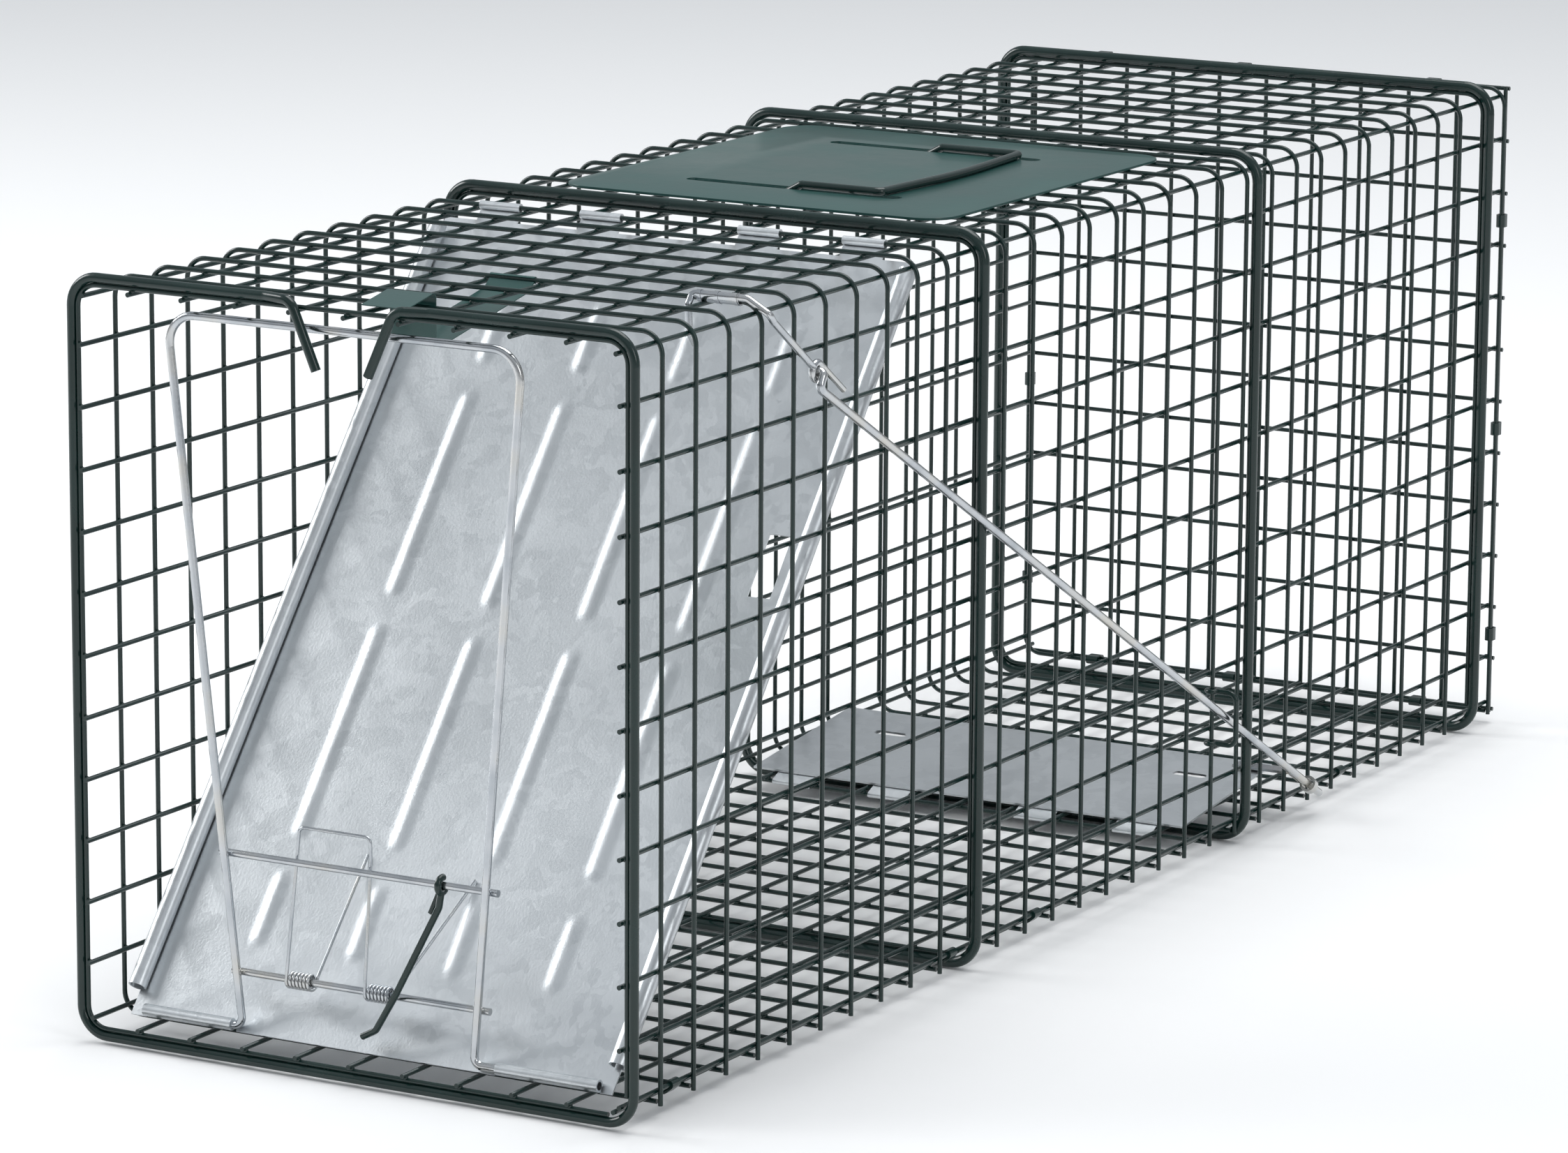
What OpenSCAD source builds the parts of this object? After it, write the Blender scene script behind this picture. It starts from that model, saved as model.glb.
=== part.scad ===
// Live catch trap: a folded wire-mesh cage with a sloping drop door, a swinging lock bar,
// a trip pan, a side trigger rod with a latch crank, and a carrying handle on a guard plate.
// Millimetres. Origin on the ground under the middle of the cage: +X right seen from the
// door end, +Y to the closed rear, +Z up.

/* [Cage] */
// Mesh pitch (one inch)
pitch = 25.4; // [20:0.1:30]
// Mesh cells across the width
cells_wide = 10; // [8:1:12]
// Mesh cells up the height
cells_tall = 12; // [10:1:14]
// Mesh cells along the length
cells_long = 32; // [30:1:34]
// Mesh wire diameter
wire_d = 2.0; // [1.6:0.1:2.6]
// Gap left between crossing wires
weld_gap = 0.04; // [0.03:0.01:0.05]
// Centreline bend radius of the mesh corners
corner_r = 9; // [6:0.5:12]
// Height of the floor mesh cross wires
floor_z = 5.85; // [5:0.05:8]

/* [Frames] */
// Front frame rod diameter
frame_d = 4.0; // [3:0.1:5]
// Half distance between the front hook bends on the top member
hook_half = 24; // [18:1:30]
// Height of the hook tips
hook_tip_z = 287.5; // [282:0.1:295]
// Reinforcing rib rod diameter
rib_d = 4.8; // [3.5:0.1:6]
// Distance of the middle rib behind the cage middle
mid_rib_y = 130.5; // [126:0.2:140]

/* [Door] */
// Door angle below horizontal when closed
door_angle = 50.9; // [48:0.1:52]
// Door length from hinge to lower edge
door_len = 387; // [380:1:390]
// Half width of the door
door_half = 118; // [110:1:119]
// Door sheet thickness
door_t = 0.8; // [0.6:0.1:1.2]
// Outer diameter of the curled side edges
curl_d = 7.6; // [5:0.1:9]
// Width of the raised ribs pressed in the door
pill_w = 9; // [7:0.5:12]

/* [Lock bar] */
// Lock bar rod diameter
lock_d = 3.4; // [3:0.1:4]
// Height of the lock bar crossbar
cross_z = 302.7; // [300:0.1:305]
// Half length of the crossbar
cross_half = 82.7; // [75:0.1:90]
// Sideways offset of the whole lock bar
lock_x = -4.5; // [-8:0.5:0]
// Torsion spring wire diameter
spring_d = 1.4; // [1:0.1:1.8]
// Coil turns on each side of the spring
spring_turns = 6; // [4:1:7]

/* [Trigger] */
// Latch crank wire diameter
crank_d = 3.0; // [2.5:0.1:3.5]
// Trigger rod diameter
rod_d = 3.6; // [3:0.1:4]
// Distance of the trigger rod from the cage middle
rod_x = 135.5; // [134.5:0.1:138]
// Trip pan tilt at rest
pan_tilt = 6.3; // [5:0.1:7]
// Trip pan depth from front to rear edge
pan_len = 92; // [80:1:95]
// Half width of the trip pan
pan_half = 112; // [100:1:114]

/* [Handle] */
// Guard plate thickness
plate_t = 1.2; // [0.8:0.1:1.5]
// Half length of the guard plate across the cage
plate_half = 95; // [80:1:100]
// Carrying handle rod diameter
bail_d = 3.6; // [3:0.1:4.5]
// Reach of the carrying handle from the plate middle
bail_reach = 42; // [35:1:55]

/* [Hidden] */
$fn = 48;
half_x = cells_wide * pitch / 2 + 0.5;
half_y = cells_long * pitch / 2;
top_z = floor_z + cells_tall * pitch + 0.8;
wire_r = wire_d / 2;
inset = wire_d + weld_gap;
bend_x = half_x - corner_r;
low_bend_z = floor_z + corner_r;
high_bend_z = top_z - corner_r;
corner_in = corner_r - inset;
corner_dx = corner_in * 0.746;
corner_dz = corner_in * 0.666;
end_over = 2.8;
seam_wall_x = half_x - inset;
seam_wall_z = floor_z + 4.2;
seam_floor_x = 122.8;
seam_floor_z = floor_z + inset;
frame_gap = 0.06;
frame_off = wire_r + frame_d / 2 + frame_gap;
rib_off = wire_r + rib_d / 2 + frame_gap;
hinge_y = -half_y + 10 * pitch;
cell_mid = [-3.5 * pitch, -1.5 * pitch, 1.5 * pitch, 3.5 * pitch];
tab_w = 20;
run_fit = 0.05;
sheet_z = -(wire_r + run_fit + door_t / 2);
tube_r = lock_d / 2 + run_fit;
tube_out = tube_r + door_t;
tube_s = door_len - 2;
tube_n = sheet_z - door_t / 2 + tube_out;
lock_y = hinge_y - tube_s * cos(door_angle) - tube_n * sin(door_angle);
lock_z = top_z - tube_s * sin(door_angle) + tube_n * cos(door_angle);
cross_y = -403;
low_half = 55;
high_rod_z = 84;
low_rod_z = 35;
cross_rod_d = 3;
hook_x = 35;
hook_d = 3;
crank_hoop_y = -half_y + 4 * pitch;
crank_reach = (wire_r + crank_d / 2 + 0.12) / sqrt(2);
crank_y = crank_hoop_y - crank_reach;
crank_z = top_z + crank_reach;
eye_y = -268.9;
eye_z = 279.6;
eye_x = 132;
eye_r = rod_d / 2 + 0.06 + crank_d / 2;
rod_low_y = 198.8;
rod_low_z = 9.6;
rod_slope = 29.27;
pan_y = -half_y + 20 * pitch;
arm_y = 188;
plate_z = top_z + wire_r + 0.05;
plate_y0 = -98;
plate_y1 = 113;
leg_y = [-55, 72];
slot_w = 7;
pin_x = -6;
pin_z = plate_z - bail_d / 2 - 0.1;
bail_z = plate_z + plate_t + bail_d / 2 + 0.1;
guide_y = -half_y + 20 * pitch;
guide_z = 64;
green = [0.13, 0.24, 0.22];
zinc = [0.72, 0.74, 0.76];
sheet_steel = [0.80, 0.81, 0.80];

// ---- helpers ----

function unit(v) = v / norm(v);

// Straight rod between two points.
module rod(p, q, d) {
    v = q - p;
    translate(p)
        rotate([0, acos(v[2] / norm(v)), atan2(v[1], v[0])])
            cylinder(d = d, h = norm(v));
}

// One rounded bend at b on the way from a to c. It is a touch fatter than the rod and laps
// over the straight ends, so the joined rod is one solid.
module elbow(a, b, c, r, d) {
    u = unit(b - a);
    w = unit(c - b);
    turn = acos(u * w);
    cut = r * tan(turn / 2);
    n = unit(cross(u, w));
    out = cross(u, n);
    centre = b - u * cut - out * r;
    lap = 0.15 / r * 180 / PI;
    multmatrix([[out[0], u[0], n[0], centre[0]], [out[1], u[1], n[1], centre[1]],
            [out[2], u[2], n[2], centre[2]], [0, 0, 0, 1]])
        rotate([0, 0, -lap])
            rotate_extrude(angle = turn + 2 * lap)
                translate([r, 0])
                    circle(d = d + 0.04);
}

function bend_cut(a, b, c, r) = r * tan(acos(unit(b - a) * unit(c - b)) / 2);

// Rod through a list of points with rounded bends of radius r, or one radius for each bend.
module bent(pts, r, d) {
    rs = is_list(r) ? r : [for (p = pts) r];
    n = len(pts) - 1;
    for (i = [0 : n - 1]) {
        u = unit(pts[i + 1] - pts[i]);
        s = i == 0 ? 0 : bend_cut(pts[i - 1], pts[i], pts[i + 1], rs[i - 1]);
        e = i == n - 1 ? 0 : bend_cut(pts[i], pts[i + 1], pts[i + 2], rs[i]);
        rod(pts[i] + u * s, pts[i + 1] - u * e, d);
        if (i > 0)
            elbow(pts[i - 1], pts[i], pts[i + 1], rs[i - 1], d);
    }
}

// Flat oval with its two ends at 0 and len on the X axis.
module oval(length, r) {
    circle(r = r);
    translate([0, -r])
        square([length, 2 * r]);
    translate([length, 0])
        circle(r = r);
}

// Clip crimped round two parallel wires, axis along Z, slit on one side.
module clip(length, r) {
    linear_extrude(height = 6, center = true)
        difference() {
            oval(length, r + 0.9);
            oval(length, r);
            translate([length / 2 - 0.3, 0])
                square([0.6, r + 2]);
        }
}

// ---- wire mesh ----

// Hoops that sit right inside a rounded frame or rib.
function ribbed(j) = j == 0 || j == 11 || j == cells_long - 1;

module lengthwise(x, z, y1 = half_y + wire_r) {
    rod([x, -half_y - end_over, z], [x, y1, z], wire_d);
}

// Vertical hoop wires of one side wall with their rounded corners; side is -1 or 1.
module side_wires(side, low_corner) {
    for (j = [0 : cells_long]) {
        y = -half_y + j * pitch;
        pts = low_corner
            ? [[side * bend_x, y, floor_z], [side * half_x, y, floor_z],
                [side * half_x, y, top_z], [side * bend_x, y, top_z]]
            : [[side * half_x, y, ribbed(j) ? low_bend_z - 0.6 : floor_z - 1.5],
                [side * half_x, y, top_z],
                [side * bend_x, y, top_z]];
        side_wire(pts);
    }
    for (k = [1 : cells_tall - 1])
        lengthwise(side * (half_x - inset), floor_z + 1.75 + k * pitch);
}

// Hoop wire whose end points stop exactly at the ends of its corner bends.
module side_wire(pts) {
    n = len(pts) - 1;
    for (i = [1 : n - 1])
        elbow(pts[i - 1], pts[i], pts[i + 1], corner_r, wire_d);
    first = n == 3 ? pts[1] + [0, 0, corner_r] : pts[0];
    last = pts[n - 1] - [0, 0, corner_r];
    rod(first, last, wire_d);
}

module floor_mesh() {
    color(green) {
        for (j = [0 : cells_long])
            rod([0.2 - bend_x, -half_y + j * pitch, floor_z],
                [ribbed(j) ? bend_x + 0.6 : half_x - 1.6, -half_y + j * pitch, floor_z], wire_d);
        for (i = [-4 : 4])
            lengthwise(i * pitch, floor_z + inset);
        lengthwise(-bend_x - corner_dx, low_bend_z - corner_dz);
        lengthwise(seam_floor_x, seam_floor_z);
    }
}

module left_mesh() {
    color(green)
        side_wires(-1, true);
}

module right_mesh() {
    color(green) {
        side_wires(1, false);
        lengthwise(seam_wall_x, seam_wall_z);
    }
}

module top_mesh() {
    color(green) {
        for (j = [0 : cells_long])
            rod([0.2 - bend_x, -half_y + j * pitch, top_z], [bend_x - 0.2, -half_y + j * pitch, top_z], wire_d);
        for (i = [-4 : 4])
            lengthwise(i * pitch, top_z - inset);
        for (side = [-1, 1])
            lengthwise(side * (bend_x + corner_dx), high_bend_z + corner_dz);
    }
}

module rear_panel() {
    y0 = half_y + wire_d + weld_gap;
    color(green) {
        for (i = [-cells_wide / 2 : cells_wide / 2])
            rod([i * pitch, y0, floor_z - 0.8], [i * pitch, y0, top_z + 0.8], wire_d);
        for (k = [0 : cells_tall])
            rod([-half_x - 0.7, y0 + inset, floor_z + 0.4 + k * pitch],
                [half_x + 0.7, y0 + inset, floor_z + 0.4 + k * pitch], wire_d);
    }
}

module seam_clips() {
    seam_y = [-381, -152.4, -76.2, 127, 228.6];
    dx = seam_wall_x - seam_floor_x;
    dz = seam_wall_z - seam_floor_z;
    color(zinc)
        for (y = seam_y)
            translate([seam_floor_x, y + pitch / 2, seam_floor_z])
                rotate([90, 0, 0])
                    rotate([0, 0, atan2(dz, dx)])
                        clip(norm([dx, dz]), wire_r + 0.1);
}

module rear_clips() {
    side_k = [1, 5, 9];
    top_i = [-4, -1, 3];
    color(zinc) {
        for (side = [-1, 1])
            for (k = side_k)
                translate([side * (half_x - 0.25), half_y, floor_z + 0.4 + (k + 0.5) * pitch])
                    rotate([0, 0, 90])
                        mirror([0, side > 0 ? 0 : 1, 0])
                            clip(inset, wire_r + 0.32);
        for (z = [floor_z + 0.2, top_z - 0.2])
            for (i = top_i)
                translate([(i + 0.5) * pitch, half_y, z])
                    rotate([0, 0, 90])
                        rotate([90, 0, 0])
                            clip(2 * inset, wire_r + 0.25);
    }
}

// ---- frames and ribs ----

module front_frame() {
    x = half_x + frame_off;
    zb = floor_z - frame_off;
    zt = top_z + frame_off;
    r = corner_r + frame_off;
    y = -half_y;
    hook_y = y - 3.2;
    color(green) {
        bent([[-12.3, hook_y, hook_tip_z], [-hook_half, hook_y, zt], [-hook_half - 14, y, zt],
            [-x, y, zt], [-x, y, zb], [x, y, zb], [x, y, zt], [hook_half + 14, y, zt],
            [hook_half, hook_y, zt], [11.8, hook_y, hook_tip_z]],
            [6, 6, r, r, r, r, 6, 6], frame_d);
    }
}

module rib(y) {
    x = half_x + rib_off;
    zb = floor_z - rib_off;
    zt = top_z + rib_off;
    color(green)
        bent([[0, y, zt], [-x, y, zt], [-x, y, zb], [x, y, zb], [x, y, zt], [0, y, zt]],
            corner_r + rib_off, rib_d);
}

module front_rib() {
    rib(-half_y + 11 * pitch);
}

module middle_rib() {
    rib(mid_rib_y);
}

module rear_rib() {
    rib(half_y - pitch);
}

// Spring strip on the top mesh that holds the lock bar crossbar against the front hooks.
module lock_catch() {
    x0 = pitch / 2;
    w = 21;
    t = 0.8;
    y1 = -half_y + pitch;
    y4 = -half_y + 4 * pitch;
    ring = wire_r + run_fit;
    mid = ring + t / 2;
    face_y = y1 + wire_r + 1.6;
    lip_z = 295.4;
    path = [[-399.4, top_z + 1.9], [face_y - 1.6, top_z + 5.4], [face_y, top_z + 4.2],
        [face_y, lip_z + 1], [face_y + 5, lip_z],
        [y4 - 5, top_z - ring - 3.2], [y4 - 0.71 * mid, top_z - 0.71 * mid]];
    color(green)
        translate([x0 - w / 2, 0, 0])
            rotate([90, 0, 90])
                linear_extrude(height = w) {
                    for (i = [0 : len(path) - 2])
                        strip2(path[i], path[i + 1], t);
                    translate([y4, top_z])
                        difference() {
                            circle(r = ring + t);
                            circle(r = ring);
                            rotate(135)
                                square(4);
                        }
                }
}

// Flat bar between two points in a drawing plane, with round ends.
module strip2(p, q, t) {
    v = q - p;
    translate(p)
        rotate(atan2(v[1], v[0])) {
            translate([0, -t / 2])
                square([norm(v), t]);
            circle(d = t + 0.04);
        }
    translate(q)
        circle(d = t + 0.04);
}

// ---- handle ----

module plate_outline() {
    r = 15;
    translate([-plate_half + r, plate_y0])
        square([2 * (plate_half - r), plate_y1 - plate_y0]);
    translate([-plate_half, plate_y0 + r])
        square([2 * plate_half, plate_y1 - plate_y0 - 2 * r]);
    for (x = [-plate_half + r, plate_half - r])
        for (y = [plate_y0 + r, plate_y1 - r])
            translate([x, y])
                circle(r = r);
}

module handle_plate() {
    ring = bail_d / 2 + run_fit;
    color(green) {
        translate([0, 0, plate_z])
            linear_extrude(height = plate_t)
                difference() {
                    plate_outline();
                    for (y = leg_y)
                        translate([-50.5, y])
                            oval(99, slot_w / 2);
                }
        for (y = leg_y)
            translate([pin_x, y - 5, pin_z])
                rotate([90, 0, 0])
                    linear_extrude(height = 9)
                        difference() {
                            union() {
                                circle(r = ring + 1);
                                translate([-ring - 1, 0])
                                    square([2 * ring + 2, plate_z - pin_z]);
                            }
                            circle(r = ring);
                            translate([-ring, 0])
                                square([2 * ring, 10]);
                        }
    }
}

module carry_handle() {
    mid_y = (leg_y[0] + leg_y[1]) / 2;
    color(green)
        bent([[pin_x, leg_y[0] - 15.5, pin_z], [pin_x, leg_y[0], pin_z], [3, leg_y[0], bail_z],
            [bail_reach, leg_y[0], bail_z], [bail_reach + 5, mid_y, bail_z],
            [bail_reach, leg_y[1], bail_z], [3, leg_y[1], bail_z], [pin_x, leg_y[1], pin_z],
            [pin_x, leg_y[1] - 15.5, pin_z]], [2.6, 2.6, 3, 300, 3, 2.6, 2.6], bail_d);
}

// ---- trigger gear ----

module rod_guide() {
    r = wire_r + run_fit + 1.2;
    color(green) {
        for (z = [guide_z - 12, guide_z + 12])
            translate([half_x, guide_y, z])
                rotate_extrude()
                    translate([r, 0])
                        circle(d = 2.4);
        bent([[half_x + r, guide_y, guide_z + 12], [139.6, guide_y, guide_z + 12],
            [139.6, guide_y, guide_z - 12], [half_x + r, guide_y, guide_z - 12]], 4, 2.4);
    }
}

module crank_sleeve() {
    color(zinc)
        difference() {
            union() {
                translate([4.07 * pitch, crank_hoop_y, top_z])
                    rotate([90, 0, 90])
                        linear_extrude(height = bend_x - 0.3 - 4.07 * pitch)
                            rotate(135)
                                oval(crank_reach * sqrt(2), crank_d / 2 + run_fit + 0.65);
                rod([99.3, crank_y, crank_z], [bend_x - 0.3, crank_y, crank_z],
                    crank_d + 2 * run_fit + 1.3);
            }
            rod([90, crank_y, crank_z], [140, crank_y, crank_z], crank_d + 2 * run_fit);
            rod([90, crank_hoop_y, top_z], [140, crank_hoop_y, top_z], wire_d + 0.1);
        }
}

module latch_crank() {
    shoulder = [eye_x, crank_y + 3, 304.5];
    to_arm = unit(shoulder - [eye_x, eye_y, eye_z]);
    color(zinc) {
        bent([[97.9, crank_y + 0.5, 293], [97.6, crank_y - 3.2, 298], [97, crank_y - 3.2, crank_z - 3.8],
            [97, crank_y, crank_z], [bend_x + 3.7, crank_y, crank_z], [eye_x, crank_y, 307.8],
            shoulder, [eye_x, eye_y, eye_z] + to_arm * eye_r],
            [1.9, 1.9, 1.9, 4, 1.9, 1.9], crank_d);
        translate([eye_x, eye_y, eye_z])
            rotate([0, 90, 0])
                rotate_extrude()
                    translate([eye_r, 0])
                        circle(d = crank_d);
        rod([eye_x, eye_y + 2.2, eye_z + eye_r - 0.4], [eye_x, eye_y + 22, eye_z - 11], crank_d - 0.4);
    }
}

module trigger_rod() {
    top_y = -266;
    top_rz = rod_low_z + (rod_low_y - top_y) * tan(rod_slope);
    color(zinc)
        bent([[eye_x - 2.6, eye_y, eye_z], [rod_x, eye_y, eye_z], [rod_x, top_y - 6.5, top_rz + 3.2],
            [rod_x, rod_low_y, rod_low_z]], 2.2, rod_d);
}

module pan_sheet() {
    difference() {
        translate([-pan_half, 0, 0])
            cube([2 * pan_half, pan_len, 1]);
        for (x = [-77, 83])
            translate([x - 6, pan_len - 27, -1])
                linear_extrude(height = 3)
                    oval(12, 2.4);
    }
}

module trip_pan() {
    ring = wire_r + run_fit;
    t = 0.8;
    color(sheet_steel)
        translate([0, pan_y, floor_z]) {
            translate([0, 4.2, 3.6])
                rotate([pan_tilt, 0, 0])
                    pan_sheet();
            for (x = cell_mid)
                translate([x - tab_w / 2, 0, 0])
                    rotate([90, 0, 90])
                        linear_extrude(height = tab_w) {
                            difference() {
                                circle(r = ring + t);
                                circle(r = ring);
                                rotate(60)
                                    square([4, 1.4]);
                            }
                            strip2([-ring * 0.78 - 0.3, ring * 0.78 + 0.2], [4.6, 4.1], t);
                        }
        }
}

module pan_arm() {
    z0 = floor_z + 3.6 + (arm_y - pan_y - 4.2) * tan(pan_tilt);
    eye = [rod_x, arm_y, rod_low_z + (rod_low_y - arm_y) * tan(rod_slope)];
    color(zinc)
        difference() {
            union() {
                translate([pan_half - 14, arm_y - 4, z0 + 1.6])
                    cube([28, 8, 1.2]);
                rod([pan_half + 13, arm_y, z0 + 2.2], [rod_x - 2.9, arm_y, eye[2] + 0.5], 2.6);
                translate(eye)
                    rotate([90 - rod_slope, 0, 0])
                        cylinder(r = rod_d / 2 + 2, h = 4, center = true);
            }
            translate(eye)
                rotate([90 - rod_slope, 0, 0])
                    cylinder(r = rod_d / 2 + 0.9, h = 12, center = true);
        }
}

// ---- door ----

// Places a shape drawn on the flat door: x across, y = -distance from the hinge, z = outward.
module on_door() {
    translate([0, hinge_y, top_z])
        rotate([door_angle, 0, 0])
            children();
}

// Raised rib pressed in the sheet at x, between two distances from the hinge.
module pill(x, s0, s1) {
    r = pill_w / 2;
    translate([x, -s0 - r, sheet_z + door_t / 2 - 0.2])
        linear_extrude(height = 1.5)
            rotate(-90)
                oval(s1 - s0 - 2 * r, r);
}

module door_panel() {
    s0 = 7;
    curl_r = curl_d / 2;
    curl_x = door_half - curl_r;
    ring = wire_r + run_fit;
    color(sheet_steel)
        on_door() {
            difference() {
                translate([-curl_x, -door_len, sheet_z - door_t / 2])
                    cube([2 * curl_x, door_len - s0, door_t]);
                translate([93.5, -166.5, -5])
                    cube([10.5, 29, 10]);
            }
            for (x = [-69, -22.3, 24.3, 71])
                for (s = [[40, 75], [88, 187], [200, 300], [315, 350]])
                    pill(x, s[0], s[1]);
            for (side = [-1, 1])
                translate([side * curl_x, -s0 - 5, sheet_z - door_t / 2 + curl_r])
                    rotate([90, 0, 0])
                        linear_extrude(height = 365)
                            difference() {
                                circle(r = curl_r);
                                circle(r = curl_r - door_t);
                                translate([side > 0 ? -curl_r - 1 : 0, 0])
                                    square([curl_r + 1, 1.6]);
                            }
            for (span = [[-107, -64], [61, 108]])
                translate([span[0], -tube_s, tube_n])
                    rotate([90, 0, 90])
                        linear_extrude(height = span[1] - span[0])
                            difference() {
                                circle(r = tube_out);
                                circle(r = tube_r);
                            }
            for (x = cell_mid)
                translate([x - tab_w / 2, 0, 0])
                    rotate([90, 0, 90])
                        linear_extrude(height = tab_w)
                            difference() {
                                union() {
                                    circle(r = ring + door_t);
                                    translate([-s0 - 1, -ring - door_t])
                                        square([s0 + 1, door_t]);
                                }
                                circle(r = ring);
                                translate([-6, -ring + 0.4])
                                    square([5, ring + 0.2]);
                            }
        }
}

// ---- lock bar and its parts ----

function leg_x(z, side) = lock_x + side * (low_half
    + (cross_half - low_half) * (z - lock_z) / (cross_z - lock_z));
function leg_y_at(z) = lock_y + (cross_y - lock_y) * (z - lock_z) / (cross_z - lock_z);

module lock_bar() {
    color(zinc)
        bent([[-98, lock_y, lock_z], [lock_x - low_half, lock_y, lock_z],
            [lock_x - cross_half, cross_y, cross_z], [lock_x + cross_half, cross_y, cross_z],
            [lock_x + low_half, lock_y, lock_z], [98, lock_y, lock_z]], [3.5, 12, 12, 3.5], lock_d);
}

module cross_rod(z) {
    off = (lock_d + cross_rod_d) / 2 + 0.02;
    rod([leg_x(z, -1) - 4, leg_y_at(z) + off, z], [leg_x(z, 1) + 4, leg_y_at(z) + off, z],
        cross_rod_d);
}

module upper_cross_rod() {
    color(zinc)
        cross_rod(high_rod_z);
}

module lower_cross_rod() {
    color(zinc)
        cross_rod(low_rod_z);
}

// Point list of the spring wire: outer leg, coil, middle loop, coil, outer leg.
coil_r = 3.05;
coil_y = leg_y_at(low_rod_z) + (lock_d + cross_rod_d) / 2 + 0.02;
function coil(x0, x1, a0, turns) = [for (i = [0 : turns * 16])
    let (a = a0 - 360 * i / 16)
    [x0 + (x1 - x0) * i / (turns * 16), coil_y + coil_r * cos(a), low_rod_z + coil_r * sin(a)]];
function on_sheet(x, s, n) = [x, hinge_y - s * cos(door_angle) - n * sin(door_angle),
    top_z - s * sin(door_angle) + n * cos(door_angle)];
spring_path = concat(
    [on_sheet(-33, 303, -0.2), [-26.5, coil_y + coil_r + 2, low_rod_z + 4]],
    coil(-27, -38, 0, spring_turns + 0.5),
    [[-38, coil_y - coil_r, low_rod_z + 3], [-36, coil_y + 3.4, 90], [-35.4, coil_y + 3.6, 96],
        [-34, coil_y + 3.6, 97.5], [-3, coil_y + 3.6, 97.5], [-1.6, coil_y + 3.6, 96],
        [-1.4, coil_y + 3.4, 90], [-0.5, coil_y - coil_r, low_rod_z + 3]],
    reverse(coil(10.5, -0.5, 0, spring_turns + 0.5)),
    [[11, coil_y + coil_r + 2, low_rod_z + 4], on_sheet(20, 307, -0.2)]);
function reverse(v) = [for (i = [len(v) - 1 : -1 : 0]) v[i]];

// Round wire swept along a point list, without twist.
module sweep(path, d) {
    sides = 8;
    n = len(path);
    tangent = [for (i = [0 : n - 1])
        unit(path[min(i + 1, n - 1)] - path[max(i - 1, 0)])];
    normals = [for (i = 0, v = unit(cross(tangent[0], [1, 0.2, 0.1])); i < n;
        i = i + 1, v = i < n ? unit(v - tangent[i] * (v * tangent[i])) : v) v];
    points = [for (i = [0 : n - 1])
        for (s = [0 : sides - 1])
            path[i] + d / 2 * (normals[i] * cos(360 * s / sides)
                + cross(tangent[i], normals[i]) * sin(360 * s / sides))];
    sides_faces = [for (i = [0 : n - 2])
        for (s = [0 : sides - 1])
            let (a = i * sides + s, b = i * sides + (s + 1) % sides)
            each [[a, a + sides, b], [b, a + sides, b + sides]]];
    caps = [[for (s = [0 : sides - 1]) s], [for (s = [sides - 1 : -1 : 0]) (n - 1) * sides + s]];
    polyhedron(points, concat(sides_faces, caps), convexity = 10);
}

module torsion_spring() {
    color(zinc)
        sweep(spring_path, spring_d);
}

module hold_open_hook() {
    y0 = leg_y_at(high_rod_z) + (lock_d + cross_rod_d) / 2 + 0.02;
    r = cross_rod_d / 2 + run_fit + hook_d / 2;
    front = y0 - r;
    color(green) {
        translate([hook_x, y0, high_rod_z])
            rotate([0, 90, 0])
                rotate_extrude()
                    translate([r, 0])
                        circle(d = hook_d);
        bent([[hook_x, y0, high_rod_z - r], [hook_x - 1.5, y0 - 1, high_rod_z - r - 8],
            [15, front - 1.4, 33], [8, front - 1.4, 22], [0, front - 0.8, 18.4]], 3, hook_d);
    }
}

floor_mesh();
left_mesh();
top_mesh();
right_mesh();
rear_panel();
front_frame();
front_rib();
middle_rib();
rear_rib();
seam_clips();
rear_clips();
lock_catch();
handle_plate();
carry_handle();
rod_guide();
crank_sleeve();
latch_crank();
trigger_rod();
trip_pan();
pan_arm();
door_panel();
lock_bar();
upper_cross_rod();
lower_cross_rod();
torsion_spring();
hold_open_hook();
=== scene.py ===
import bpy, bmesh
from math import radians, tan, pi, sqrt
from mathutils import Vector, Matrix


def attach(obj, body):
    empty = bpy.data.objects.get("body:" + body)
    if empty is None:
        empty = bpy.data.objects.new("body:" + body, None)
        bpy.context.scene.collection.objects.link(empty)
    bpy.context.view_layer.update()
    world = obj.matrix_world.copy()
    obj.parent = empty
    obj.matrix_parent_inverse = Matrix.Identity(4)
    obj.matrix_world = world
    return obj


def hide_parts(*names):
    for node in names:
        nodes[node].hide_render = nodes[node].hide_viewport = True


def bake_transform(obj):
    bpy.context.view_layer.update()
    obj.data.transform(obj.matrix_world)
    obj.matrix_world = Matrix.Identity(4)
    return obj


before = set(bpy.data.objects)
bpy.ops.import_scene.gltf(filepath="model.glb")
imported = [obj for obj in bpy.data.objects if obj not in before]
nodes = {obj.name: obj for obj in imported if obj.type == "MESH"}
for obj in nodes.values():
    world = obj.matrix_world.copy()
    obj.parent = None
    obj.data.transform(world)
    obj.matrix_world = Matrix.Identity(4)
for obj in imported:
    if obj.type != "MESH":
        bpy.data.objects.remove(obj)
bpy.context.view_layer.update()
mm = 0.001
print("frame loaded")

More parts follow.
